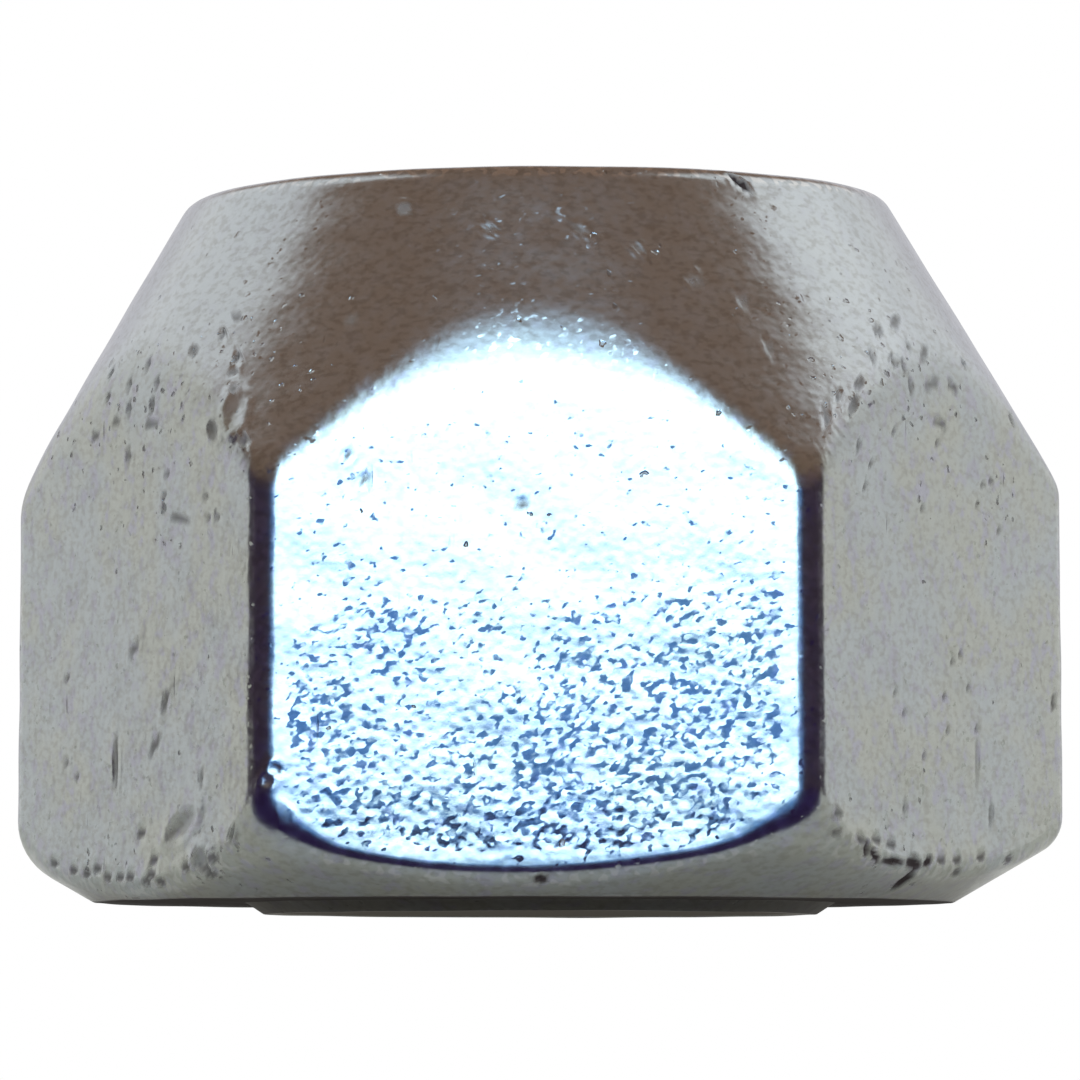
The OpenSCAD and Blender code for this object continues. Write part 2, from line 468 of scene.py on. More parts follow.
# Dashes, whose width, depth, rim and dirt are the same: azimuth and height, length, and its
# angle from level.
DASH = (0.26, 0.05, 0.3, 0.5)
DASHES = (
    (227.9, 13.05, 0.27, -63), (226.9, 12.72, 0.33, 90), (231.2, 12.14, 0.31, 90),
    (231.5, 11.82, 0.28, -61), (232.6, 11.49, 0.26, 90), (222.9, 12.37, 0.43, -25),
    (211.8, 12.25, 0.35, -79), (201.7, 12.22, 0.29, -78), (207.8, 11.76, 0.33, 90),
    (202.1, 11.64, 0.26, 89), (208.6, 11.22, 0.37, -69), (215, 11.21, 0.48, 82),
    (205, 10.95, 0.38, 31), (215, 10.86, 0.66, -4), (215.4, 11.83, 0.32, -89),
    (199.2, 10.8, 0.44, -21), (208.9, 10.26, 0.41, -61), (318.5, 12.89, 0.51, 30),
    (323.5, 13.13, 0.66, 32), (315.6, 12.24, 0.45, 81), (319.6, 12.21, 0.36, -58),
    (324.3, 12.57, 0.3, -51), (327.8, 12.43, 0.7, 34), (321.7, 12.06, 0.35, -69),
    (322.1, 11.63, 0.52, 89), (328.2, 11.83, 0.95, 16), (333.2, 11.74, 0.52, -27),
    (311.3, 11.59, 0.54, 40), (308.8, 11.06, 0.69, 42), (307, 11.27, 0.28, -8),
    (304.5, 10.72, 0.42, 90), (338.3, 12.41, 0.26, -39), (349, 11.24, 0.35, -87),
    (329.3, 10.97, 0.75, -16),
)

# Nicks in kinds: the length, width, depth, angle, rim and dirt of a kind, and the azimuth and
# height of each of its nicks.
NICKS = (
    ((0.38, 0.24, 0.06, 0, 0.2, 0.7), (
        (189.9, 1.2), (194.6, 0.96), (198.2, 0.87), (200.7, 1), (203.5, 0.79), (207.1, 0.85),
        (210, 0.75), (213.9, 0.62), (217.9, 0.62), (216.1, 1.06), (215.7, 0.8), (230.8, 1.12),
        (228.7, 0.85), (224.7, 0.95), (229.7, 0.78), (234.8, 1.57), (212.9, 1.73), (304.5, 2.02),
        (304.5, 1.62), (308.8, 1.57), (312.4, 1.52), (316, 1.42), (328.6, 1.11), (332.9, 1.12),
        (333.2, 0.86), (339.3, 1.2), (346.5, 1.24))),
    ((0.26, 0.26, 0.04, 0, 0.2, 0.5), (
        (219.3, 9.64), (218.3, 9.25), (228.7, 9.06), (218.6, 8.89), (229.4, 8.62), (231.5, 8.52),
        (192.8, 3.34), (195.3, 3.08), (192.4, 5.34))),
    ((0.24, 0.24, 0.04, 0, 0.2, 0.5), (
        (317.4, 10.56), (308.8, 10.17), (311.7, 9.85), (328.6, 10.48), (340.4, 9.6),
        (342.9, 9.81), (339, 9.24), (324.6, 8.98), (310.3, 9.28), (344.7, 8.63), (317.1, 4.74),
        (319.6, 4.43), (324.3, 3.44), (330.7, 4.09), (338.3, 4.2), (330, 4.75), (336.1, 5.1),
        (331.8, 5.67), (334.3, 5.76))),
    ((0.28, 0.28, 0.07, 0, 0.6, 0.1), (
        (241.1, 2.79), (241.7, 3.03))),
    ((0.26, 0.26, 0.04, 0, 0.9, 0.2), (
        (291.9, 13.74), (290.8, 13.77), (263.5, 14.93), (276.5, 14.89), (284.4, 14.49),
        (246.3, 12.96), (297.6, 13.37), (299.4, 12.21))),
    ((0.22, 0.22, 0.05, 0, 0.2, 0.6), (
        (248.5, 9.83), (250.3, 9.34), (268.2, 8.67))),
)

# Further small dents at random on the half of the nut that faces +Y: how many, and the limits
# of their numbers, in the order of MARKS.
STRAY_DENTS = 46
STRAY_LOW = (4, 0.7, 0.5, 0.4, 0.03, -90, 0.1, 0.1)
STRAY_HIGH = (176, 15.8, 1.3, 0.5, 0.07, 90, 0.4, 0.9)

# The raised rim of a mark and its spread, and where the dirt in it ends and over how much,
# all as shares of the mark's half sizes. Then the degrees of azimuth and the millimetres of
# height that count as equally far, the rise of the normal on the end face, and how far from
# a mark's middle it reaches through the nut, as a share of its size and in millimetres more.
RIM_PLACE = 1.2
RIM_SPREAD = 0.22
DIRT_REACH = 1.15
DIRT_FADE = 0.45
AS_FAR = (60, 12)
END_NORMAL = -0.93
REACH_SHARE = 0.6
REACH_MORE = 0.3

# Painted shade at the brace end, laid on as dark dirt where the underside meets the floor: at
# the mouth, at the washer face's edge, in the corner where its slope meets the end face, at the
# inner and the outer edge of the end face, and from the chamfer on.
FOOT_SHADE = (0, 0.5, 0.543, 1.0, 1.0, 0, 0)

# Depth of the forging ripple in millimetres.
RIPPLE = 0.006


def all_marks():
    """Every mark above, and the stray dents, in the form of MARKS."""
    wide, depth, rim, dirt = DASH
    dashes = [(azimuth, height, long, wide, depth, lean, rim, dirt)
              for azimuth, height, long, lean in DASHES]
    nicks = [place + shape for shape, places in NICKS for place in places]
    random = np.random.default_rng(5)
    stray = random.uniform(STRAY_LOW, STRAY_HIGH, (STRAY_DENTS, len(STRAY_LOW)))
    return np.concatenate([MARKS, dashes, nicks, stray])


def cut_marks(points, normals):
    """Moves points along their normals into each mark, which is centred on the nearest point
    that isn't on the end face. Across a mark's ellipse, at a share q of its half sizes, the
    depth is (1 - q^2)^2, and a rim stands up where q is near RIM_PLACE. It returns the points,
    and a mask of the dirt in the marks."""
    moved = np.zeros(points.shape[:2])
    grime_and_shade = np.zeros(points.shape[:2])
    azimuth = np.degrees(np.arctan2(points[..., 1], points[..., 0]))
    for at_azimuth, at_height, long, wide, depth, lean, rim, dirt in all_marks():
        off = turn_between(azimuth, at_azimuth) / AS_FAR[0]
        away = off ** 2 + ((points[..., 2] / MM - at_height) / AS_FAR[1]) ** 2
        away = np.where(normals[..., 2] < END_NORMAL, np.inf, away)
        centre = np.unravel_index(np.argmin(away), away.shape)
        out = normals[centre]
        level = np.cross((0, 0, 1), out)
        level = level / np.linalg.norm(level)
        rise = np.cross(out, level)
        turn = math.radians(lean)
        arm = points - points[centre]
        along = arm @ (level * math.cos(turn) + rise * math.sin(turn))
        across = arm @ (rise * math.cos(turn) - level * math.sin(turn))
        near = np.abs(arm @ out) < REACH_SHARE * max(long, wide) * MM + REACH_MORE * MM
        q = np.hypot(along / (long * MM / 2), across / (wide * MM / 2))
        bowl = np.clip(1 - q ** 2, 0, None) ** 2
        lip = rim * np.exp(-((q - RIM_PLACE) / RIM_SPREAD) ** 2)
        moved += np.where(near, depth * MM * (lip - bowl), 0)
        filled = dirt * smooth_step((DIRT_REACH - q) / DIRT_FADE)
        grime_and_shade = np.maximum(grime_and_shade, np.where(near, filled, 0))
    return points + normals * moved[..., None], grime_and_shade


def foot_shade(rows):
    """Painted shade of the underside, laid on as dirt, by row: about a half on the washer face's
    slope, whole on the end face, and none from the chamfer on."""
    runs, arcs = row_starts()
    marks = [0, arcs[0], runs[2] - 1, runs[2], arcs[2], runs[3], rows]
    return np.interp(np.arange(rows), marks, FOOT_SHADE)[None, :]


def ripple(points, normals):
    """Forging ripple: the product of two sine waves plus two more, each in its own direction,
    less 2, so that it moves the skin by a few hundredths of a millimetre and never outwards."""
    x, y, z = (points[..., axis] / MM for axis in range(3))
    wave = (np.sin(0.9 * x + 1.7 * z + 0.6) * np.sin(1.3 * y - 0.8 * z)
            + 0.6 * np.sin(2.1 * x - 1.1 * y + 2.3 * z) + 0.4 * np.sin(3.4 * z + 2.6 * y + 1.2))
    return points + normals * ((wave - 2) * RIPPLE * MM)[..., None]


# ---------------------------------------------------------------- thread

def thread_reach(height, azimuth, sizes, offset):
    """Reach of the tapped wall. Along the pitch: a quarter is crest at the minor diameter, an
    eighth is root at the major diameter, and straight flanks join them. At each end the
    countersink's cone takes over, softly, where it is wider."""
    minor = sizes.thread / 2 - THREAD_DEPTH * sizes.pitch
    major = sizes.thread / 2
    phase = np.mod((height - offset) / sizes.pitch - azimuth / (2 * math.pi), 1)
    from_root = np.abs(phase - 0.5) * 2
    share = np.clip((from_root - THREAD_ROOT) / (1 - THREAD_ROOT - THREAD_CREST), 0, 1)
    reach = major - (major - minor) * share
    cones = np.maximum(sizes.washer_mouth / 2 - height,
                       sizes.nose_mouth / 2 - (sizes.height - height))
    return np.logaddexp(reach / THREAD_SOFT, cones / THREAD_SOFT) * THREAD_SOFT


def thread_grid(sizes):
    """Points of the tapped wall, columns by lines, and by how many lines each column shifts.
    The inner lines follow the helix, so that they keep to the crest, the flanks and the root.
    A whole number of them fits between the end rings, so where one line climbs out at the top
    of a column another comes in at its foot."""
    columns = np.arange(THREAD_STEPS)
    step = sizes.pitch / LINES_PER_PITCH
    lines = int((sizes.height - 2 * sizes.nose_tip - 2 * THREAD_FOOT) / step)
    climbed = (columns + 0.5) * LINES_PER_PITCH / THREAD_STEPS
    offset = THREAD_FOOT + step * 0.5 * LINES_PER_PITCH / THREAD_STEPS
    azimuth = (2 * math.pi * columns / THREAD_STEPS)[:, None]
    low = np.full_like(azimuth, THREAD_FOOT)
    inner = THREAD_FOOT + (np.mod(climbed, 1)[:, None] + np.arange(lines)[None, :]) * step
    height = np.concatenate([low, inner, low + lines * step], 1)
    reach = thread_reach(height, azimuth, sizes, offset)
    whole = np.floor(np.append(climbed, climbed[0] + LINES_PER_PITCH))
    points = np.stack([reach * np.cos(azimuth), reach * np.sin(azimuth), height], 2)
    return points, np.diff(whole).astype(int)


# ---------------------------------------------------------------- joining the grids

def grid_quads(columns, rows):
    """Corner numbers of the quads of a grid that closes round its columns, column by column."""
    column, row = np.meshgrid(np.arange(columns), np.arange(rows - 1), indexing="ij")
    after = (column + 1) % columns
    quads = np.stack([column * rows + row, after * rows + row,
                      after * rows + row + 1, column * rows + row + 1], 2)
    return quads.reshape(-1, 4)


def thread_faces(shifts, rows, start):
    """Quads and triangles of the thread. Where a column shifts, each line joins the line one
    higher in the next column, and triangles fill the two ends. They face the axis."""
    columns = len(shifts)
    column, row = np.meshgrid(np.arange(columns), np.arange(rows - 1), indexing="ij")
    after = (column + 1) % columns
    shift = shifts[column]
    kept = (shift == 0) | ((row >= 1) & (row <= rows - 3))
    column, row, after, shift = (part[kept] for part in (column, row, after, shift))
    quads = np.stack([column * rows + row, column * rows + row + 1,
                      after * rows + row + 1 + shift, after * rows + row + shift], 1)
    this = np.flatnonzero(shifts)
    base, base_after = this * rows, (this + 1) % columns * rows
    foot_quads = np.stack([base, base + 1, base_after + 1, base_after], 1)
    triangles = np.concatenate([
        np.stack([base + 1, base_after + 2, base_after + 1], 1),
        np.stack([base + rows - 2, base + rows - 1, base_after + rows - 1], 1)])
    return np.concatenate([quads, foot_quads]) + start, triangles + start


def ring_seam(fine, coarse, fine_first):
    """Triangles between a fine ring and a coarse one with a whole fraction of its columns:
    each coarse side takes a fan of fine ones. fine_first says which ring comes first along
    the rows, which sets the way that the faces turn."""
    ratio = len(fine) // len(coarse)
    index = np.arange(len(fine))
    own = coarse[(index // ratio + (index % ratio >= ratio / 2)) % len(coarse)]
    fans = np.stack([fine, np.roll(fine, -1), own], 1)
    middle = fine[(np.arange(len(coarse)) * ratio + math.ceil(ratio / 2)) % len(fine)]
    bridges = np.stack([coarse, middle, np.roll(coarse, -1)], 1)
    triangles = np.concatenate([fans, bridges])
    return triangles if fine_first else triangles[:, ::-1]


def build_nut(sizes):
    """One closed mesh: the worn skin, and the thread joined to it at both mouths. It returns
    the points, the quads, the triangles, and the masks of each point by name."""
    points = skin_grid(sizes)
    masks = skin_masks(points, grid_normals(points))
    points = ripple(points, grid_normals(points))
    points, grime_and_shade = cut_marks(points, grid_normals(points))
    # The stored mask holds the dirt in the marks and the painted shade at the brace end.
    masks["grime_and_shade"] = np.maximum(grime_and_shade, foot_shade(points.shape[1]))
    points = np.clip(points, NODE_LOW, NODE_HIGH)
    columns, rows = points.shape[:2]
    thread, shifts = thread_grid(sizes)
    start = columns * rows
    quads, triangles = thread_faces(shifts, thread.shape[1], start)
    fine = np.arange(columns) * rows
    coarse = start + np.arange(THREAD_STEPS) * thread.shape[1]
    seams = np.concatenate([ring_seam(fine, coarse, False),
                            ring_seam(fine + rows - 1, coarse + thread.shape[1] - 1, True)])
    bare = np.zeros(thread.shape[0] * thread.shape[1])
    return (np.concatenate([points.reshape(-1, 3), thread.reshape(-1, 3)]),
            np.concatenate([grid_quads(columns, rows), quads]),
            np.concatenate([seams, triangles]),
            {name: np.concatenate([mask.ravel(), bare]) for name, mask in masks.items()})


def fill_mesh(mesh, points, quads, triangles):
    """Puts points, quads and triangles into an empty mesh."""
    loops = np.concatenate([quads.ravel(), triangles.ravel()]).astype(np.int32)
    sizes = np.concatenate([np.full(len(quads), 4), np.full(len(triangles), 3)])
    mesh.vertices.add(len(points))
    mesh.vertices.foreach_set("co", points.astype(np.float32).ravel())
    mesh.loops.add(len(loops))
    mesh.loops.foreach_set("vertex_index", loops)
    mesh.polygons.add(len(sizes))
    starts = np.concatenate([[0], np.cumsum(sizes)[:-1]]).astype(np.int32)
    mesh.polygons.foreach_set("loop_start", starts)
    mesh.polygons.foreach_set("use_smooth", np.ones(len(sizes), dtype=bool))
    mesh.update(calc_edges=True)
    mesh.validate()


def set_values(mesh, name, values):
    """Stores one number per vertex under a name."""
    layer = mesh.attributes.new(name, "FLOAT", "POINT")
    layer.data.foreach_set("value", values.astype(np.float32))


# ---------------------------------------------------------------- nodes

# The grain of the plating: how fine it is, its height, as a share of the bump's distance,
# where it is smooth and coarse, and the bump's distance.
GRAIN_SCALE = 5.0
SMOOTH_GRAIN = 0.08
COARSE_GRAIN = 0.22
BUMP_DISTANCE = 0.05 * MM

# How much light the dirt and the painted shade at the brace end mirror, where 0.5 is usual.
# Bare metal doesn't go by it.
DIRT_AND_SHADE_SHINE = 0.1

# The flecks of the coarse plating: how fine their noise is and how soft, how z shears and
# stretches it, the noise's threshold, how the share of coarse plating moves it, and for the
# drop and the turn of a fleck, the range of a noise and what it becomes.
FLECK_SCALE = 5.0
FLECK_ROUGHNESS = 0.35
FLECK_SHEAR = (-0.3, -0.2, 1.25)
FLECK_EDGE = (0.45, 0.54)
FLECK_SHIFT = (-0.21, 0.2)
FLECK_DROP = (0.36, 0.6, -0.14, -0.015)
FLECK_TURN = (0.3, 0.7, -0.08, 0.08)

# How far a noise moves the pits, and for the big and the small pits their scale, their size,
# and how many there are for each unit of the pitting mask and everywhere.
PIT_WARP = 0.3
BIG_PITS = (2.3, 0.3, 0.32, 0.0)
SMALL_PITS = (4.4, 0.4, 0.45, 0.01)


def plug(tree, socket, value):
    """Links a socket to another one, or sets its value. A colour gets an alpha of 1."""
    if isinstance(value, bpy.types.NodeSocket):
        tree.links.new(value, socket)
    else:
        socket.default_value = (*value, 1.0) if socket.type == "RGBA" else value


def add_node(tree, kind, settings=None, *values, **inputs):
    """Adds a shader node of a kind, which is named without its first word, and returns its
    outputs. settings are its own properties. values and inputs are numbers for its sockets or
    the sockets that feed them: values in order, and inputs by name, with _ for a space."""
    node = tree.nodes.new("ShaderNode" + kind)
    for name, value in (settings or {}).items():
        setattr(node, name, value)
    for socket, value in zip(node.inputs, values):
        plug(tree, socket, value)
    for name, value in inputs.items():
        plug(tree, node.inputs[name.replace("_", " ")], value)
    return node.outputs


def maths(tree, operation, *values, clamp=False):
    """Result of a Math node."""
    return add_node(tree, "Math", {"operation": operation, "use_clamp": clamp}, *values)[0]


def times(tree, first, second):
    """Product of two numbers."""
    return maths(tree, "MULTIPLY", first, second)


def linear(tree, value, factor, offset):
    """A number times a factor, plus an offset."""
    return maths(tree, "MULTIPLY_ADD", value, factor, offset)


def vectors(tree, operation, *values):
    """Outputs of a Vector Math node."""
    return add_node(tree, "VectorMath", {"operation": operation}, *values)


def between(tree, value, low, high, to_low=0.0, to_high=1.0, curve="SMOOTHSTEP"):
    """A value taken from one range to another, smoothly unless the curve is LINEAR."""
    return add_node(tree, "MapRange", {"interpolation_type": curve}, Value=value, From_Min=low,
                    From_Max=high, To_Min=to_low, To_Max=to_high)["Result"]


def fading(tree, value, low, high):
    """1 below the range and 0 above it."""
    return between(tree, value, low, high, 1.0, 0.0)


def noise(tree, place, scale, detail, **more):
    """Outputs of a noise: a number and a colour."""
    return add_node(tree, "TexNoise", Vector=place, Scale=scale, Detail=detail, **more)


def split(tree, value, kind="XYZ"):
    """The three parts of a vector, or with the kind Color of a colour."""
    return add_node(tree, "Separate" + kind, None, value)


def blend(tree, share, first, second):
    """A colour between two colours."""
    node = tree.nodes.new("ShaderNodeMix")
    node.data_type = "RGBA"
    for name, value in (("Factor_Float", share), ("A_Color", first), ("B_Color", second)):
        plug(tree, next(one for one in node.inputs if one.identifier == name), value)
    return next(one for one in node.outputs if one.identifier == "Result_Color")


def group_shell(name, inputs, outputs):
    """Empty node group whose sockets are numbers, but for Vector. It returns the group, and
    the sockets inside it that bring its inputs and take its outputs."""
    tree = bpy.data.node_groups.new(name, "ShaderNodeTree")
    for label in inputs:
        kind = "NodeSocketVector" if label == "Vector" else "NodeSocketFloat"
        tree.interface.new_socket(label, in_out="INPUT", socket_type=kind)
    for label in outputs:
        tree.interface.new_socket(label, in_out="OUTPUT", socket_type="NodeSocketFloat")
    given = tree.nodes.new("NodeGroupInput").outputs
    return tree, given, tree.nodes.new("NodeGroupOutput").inputs


def pit_group():
    """Scattered round pits. Each cell of a Voronoi pattern has a random number: below Density
    it holds a pit, whose size also varies from cell to cell. In it the mask is the smooth step
    of 1 less the distance over the radius, from 0 to 0.6."""
    tree, given, out = group_shell("scattered_pits", ("Vector", "Scale", "Density", "Size"),
                                   ("Mask",))
    cells = add_node(tree, "TexVoronoi", Vector=given["Vector"], Scale=given["Scale"])
    chance, growth, _ = split(tree, cells["Color"], "Color")
    present = maths(tree, "LESS_THAN", chance, given["Density"])
    radius = times(tree, given["Size"], linear(tree, growth, 0.7, 0.3))
    depth = maths(tree, "SUBTRACT", 1.0, maths(tree, "DIVIDE", cells["Distance"], radius),
                  clamp=True)
    plug(tree, out["Mask"], times(tree, present, between(tree, depth, 0, 0.6)))
    return tree


def grain_group():
    """Fine grain of plated forged steel: a noise, and a tenth of one 2.7 times as fine, put
    out as a height about 0 and as a mask of the high spots."""
    tree, given, out = group_shell("plating_grain", ("Vector", "Scale"), ("Height", "Fleck"))
    place, scale = given["Vector"], given["Scale"]
    coarse = noise(tree, place, scale, 0.0)[0]
    fine = noise(tree, place, times(tree, scale, 2.7), 1.0)[0]
    height = maths(tree, "ADD", maths(tree, "SUBTRACT", coarse, 0.5),
                   times(tree, maths(tree, "SUBTRACT", fine, 0.5), 0.1))
    plug(tree, out["Height"], height)
    plug(tree, out["Fleck"], between(tree, height, 0.02, 0.14))
    return tree


def use_group(tree, group, **inputs):
    """Places a node group and feeds it."""
    return add_node(tree, "Group", {"node_tree": group}, **inputs)


def fresh_tree(block, kind):
    """Empties the nodes of a material or of the world. It returns them and the socket of the
    surface."""
    block.use_nodes = True
    tree = block.node_tree
    tree.nodes.clear()
    return tree, tree.nodes.new("ShaderNodeOutput" + kind).inputs["Surface"]


def millimetres(tree):
    """Object coordinates in millimetres."""
    return vectors(tree, "MULTIPLY", add_node(tree, "TexCoord")["Object"], (1 / MM,) * 3)[0]


def sheared(tree, place):
    """Coordinates that make the flecks lean and lie. With a, b and c for the three numbers of
    FLECK_SHEAR they are (x + a z, y + b z, c z)."""
    x, y, z = split(tree, place)
    a, b, c = FLECK_SHEAR
    return add_node(tree, "CombineXYZ", None, linear(tree, z, a, x), linear(tree, z, b, y),
                    times(tree, z, c))[0]


def warped(tree, place):
    """Coordinates that a noise moves a little, so that the pits aren't quite round."""
    return vectors(tree, "MULTIPLY_ADD", noise(tree, place, 4.0, 2.0)[1], (PIT_WARP,) * 3,
                   place)[0]


def fleck_normal(tree, place, share):
    """Normal of the coarse plating: flecks where a noise is low, each hanging down and turned
    to a side by its own angle. They are dense where share is 1 and few where it is 0."""
    where, by, side = split(tree, noise(tree, sheared(tree, place), FLECK_SCALE, 1.0,
                                        Roughness=FLECK_ROUGHNESS)[1], "Color")
    level = maths(tree, "ADD", where, linear(tree, share, *FLECK_SHIFT))
    fleck = fading(tree, level, *FLECK_EDGE)
    hang = add_node(tree, "CombineXYZ", X=times(tree, fleck, between(tree, side, *FLECK_TURN)),
                    Z=times(tree, fleck, between(tree, by, *FLECK_DROP)))[0]
    tilt = add_node(tree, "VectorTransform",
                    {"convert_from": "OBJECT", "convert_to": "WORLD"}, hang)[0]
    total = vectors(tree, "ADD", add_node(tree, "NewGeometry")["Normal"], tilt)[0]
    return vectors(tree, "NORMALIZE", total)[0]


def stored(tree, name):
    """A number stored on the mesh."""
    return add_node(tree, "Attribute",
                    {"attribute_type": "GEOMETRY", "attribute_name": name})["Fac"]


def zinc_material(finish, pits, grain):
    """Dulled zinc plating: lilac and yellow clouds, flecks where it is coarse, a fine grain,
    pits that crowd in their fields, upright scratches, rubbed edges, and painted shade, laid on
    as dark dirt, on the brace end."""
    material = bpy.data.materials.new("zinc_plating")
    tree, surface = fresh_tree(material, "Material")
    place = millimetres(tree)
    pitting, seat, coarse = (stored(tree, name) for name in ("pitting", "seat", "coarse"))
    cloud = noise(tree, place, 0.45, 3.0)[0]
    fine_cloud = noise(tree, place, 2.4, 2.0)[0]
    patch = noise(tree, place, 0.55, 2.0)[0]
    texture = use_group(tree, grain, Vector=place, Scale=GRAIN_SCALE)
    bent = warped(tree, place)
    big, small = (
        use_group(tree, pits, Vector=bent, Scale=scale, Size=size,
                  Density=linear(tree, pitting, crowd, everywhere))["Mask"]
        for scale, size, crowd, everywhere in (BIG_PITS, SMALL_PITS))
    pocks = maths(tree, "MAXIMUM", big, times(tree, small, 0.7))
    # dirt: the dirt in the pits and the marks, and the painted shade at the brace end.
    dirt = maths(tree, "MAXIMUM", times(tree, pocks, linear(tree, seat, -0.5, 0.6)),
                 stored(tree, "grime_and_shade"))
    line = noise(tree, vectors(tree, "MULTIPLY", place, (5.0, 5.0, 0.7))[0], 1.0, 1.0)[0]
    scratch = times(tree, between(tree, line, 0.72, 0.79),
                    between(tree, noise(tree, place, 0.8, 1.0)[0], 0.52, 0.66))
    speck = noise(tree, vectors(tree, "MULTIPLY", place, (1.0, 1.0, 1.6))[0], 4.6, 2.0)[0]
    rubbed = times(tree, stored(tree, "wear"), texture["Fleck"])
    base = finish.zinc_warm
    for share, tint in (
            (between(tree, cloud, 0.38, 0.62), finish.zinc),
            (between(tree, fine_cloud, 0.5, 0.7), finish.zinc_cool),
            (times(tree, seat, 0.85), finish.seat),
            (between(tree, speck, 0.42, 0.7, 0.0, 0.35), finish.speckle),
            (times(tree, rubbed, linear(tree, seat, 0.5, 0.25)), finish.rubbed),
            (times(tree, scratch, 0.4), finish.pit),
            (dirt, finish.pit)):
        base = blend(tree, share, base, tint)
    rough_patch = maths(tree, "ADD", coarse, between(tree, patch, 0.3, 0.7, -0.35, 0.35))
    amount = linear(tree, coarse, COARSE_GRAIN - SMOOTH_GRAIN, SMOOTH_GRAIN)
    height = maths(tree, "SUBTRACT", times(tree, texture["Height"], amount),
                   maths(tree, "ADD", times(tree, pocks, 0.5), times(tree, scratch, 0.08)))
    bump = add_node(tree, "Bump", Height=height, Strength=1.0, Distance=BUMP_DISTANCE,
                    Normal=fleck_normal(tree, place, between(tree, rough_patch, 0.1, 1.1)))[0]
    rough = maths(tree, "ADD", between(tree, fine_cloud, 0.3, 0.7, -0.03, 0.03),
                  linear(tree, dirt, 0.3, finish.roughness))
    shader = add_node(tree, "BsdfPrincipled", Base_Color=base, Roughness=rough, Normal=bump,
                      Metallic=linear(tree, dirt, -1.0, 1.0), Specular_IOR_Level=DIRT_AND_SHADE_SHINE)[0]
    plug(tree, surface, shader)
    return material


def thread_material(finish, pits, grain):
    """Dull oiled steel of the thread, with grain and a few pits."""
    material = bpy.data.materials.new("tapped_steel")
    tree, surface = fresh_tree(material, "Material")
    place = millimetres(tree)
    texture = use_group(tree, grain, Vector=place, Scale=GRAIN_SCALE)
    dirt = use_group(tree, pits, Vector=warped(tree, place), Scale=2.6, Size=0.45,
                     Density=0.12)["Mask"]
    base = blend(tree, times(tree, dirt, 0.7), finish.thread_steel, finish.pit)
    height = maths(tree, "SUBTRACT", times(tree, texture["Height"], 0.4), dirt)
    bump = add_node(tree, "Bump", Height=height, Strength=1.0, Distance=0.015 * MM)[0]
    shader = add_node(tree, "BsdfPrincipled", Base_Color=base, Normal=bump, Metallic=1.0,
                      Roughness=0.38)[0]
    plug(tree, surface, shader)
    return material


# ---------------------------------------------------------------- stage

def ray_mask(tree, *kinds):
    """1 for rays of any of the named kinds, and 0 for the rest."""
    path = add_node(tree, "LightPath")
    mask = path[kinds[0]]
    for kind in kinds[1:]:
        mask = maths(tree, "MAXIMUM", mask, path[kind])
    return mask


def emission(tree, tint, strength=1.0):
    """Emission of a colour."""
    return add_node(tree, "Emission", Color=tint, Strength=strength)[0]


def mix_shaders(tree, share, first, second):
    """A shader between two shaders."""
    return add_node(tree, "MixShader", None, share, first, second)[0]


def floor_material(stage):
    """Pale matt floor. What glossy and transmitted rays see of it is a painted reflection: a
    painted glow of paleness even in the shadow under the nut, a painted dark line close before it,
    and further out a painted cool tint and glow of the window's light, dark to either side.
    The camera stands a little lower than the floor, so its underside lets camera rays
    through."""
    material = bpy.data.materials.new("pale_floor")
    tree, surface = fresh_tree(material, "Material")
    x, y, _ = split(tree, add_node(tree, "TexCoord")["Object"])
    aside = maths(tree, "ABSOLUTE", x)
    cool = between(tree, y, *COOL_FLOOR)
    before = between(tree, y, *DARK_LINE_NEAR)
    line = times(tree, before, fading(tree, y, *DARK_LINE_FAR))
    line = times(tree, line, fading(tree, aside, *DARK_LINE_SIDE))
    slant = maths(tree, "DIVIDE", aside, maths(tree, "MINIMUM", y, -MM))
    line = maths(tree, "MAXIMUM", line, times(tree, between(tree, slant, *DARK_SLANT), before))
    dull = blend(tree, line, blend(tree, cool, stage.floor_seen, stage.floor_cool), BLACK)
    glow = times(tree, between(tree, y, *GLOW),
                 between(tree, slant, -WINDOW_SIDE[1], -WINDOW_SIDE[0]))
    lit = tuple(part * stage.window_strength for part in stage.window)
    lift = blend(tree, cool, stage.floor_lift, stage.cool_lift)
    lift = blend(tree, times(tree, glow, GLOW_SHARE), blend(tree, line, lift, stage.floor_dark),
                 lit)
    # Painted glow: the emission lifts the shadow and paints the window's light, for glossy and
    # transmitted rays only.
    seen = add_node(tree, "AddShader", None, add_node(tree, "BsdfDiffuse", Color=dull)[0],
                    emission(tree, lift))[0]
    top = mix_shaders(tree, ray_mask(tree, "Is Glossy Ray", "Is Transmission Ray"),
                      add_node(tree, "BsdfDiffuse", Color=stage.floor)[0], seen)
    plug(tree, surface, mix_shaders(tree, add_node(tree, "NewGeometry")["Backfacing"], top,
                                    add_node(tree, "BsdfTransparent")[0]))
    return material


def stage_piece(name, points, faces, material):
    """Adds a mesh of the stage, which isn't part of the nut."""
    mesh = bpy.data.meshes.new(name)
    mesh.from_pydata(points, [], faces)
    mesh.materials.append(material)
    piece = bpy.data.objects.new(name, mesh)
    bpy.context.scene.collection.objects.link(piece)
    return piece


def make_floor(stage):
    """Flat square floor that faces up, under the nut."""
    corners = [(x * FLOOR_HALF, y * FLOOR_HALF, 0) for x, y in ((-1, -1), (1, -1), (1, 1), (-1, 1))]
    stage_piece("floor", corners, [(0, 1, 2, 3)], floor_material(stage))


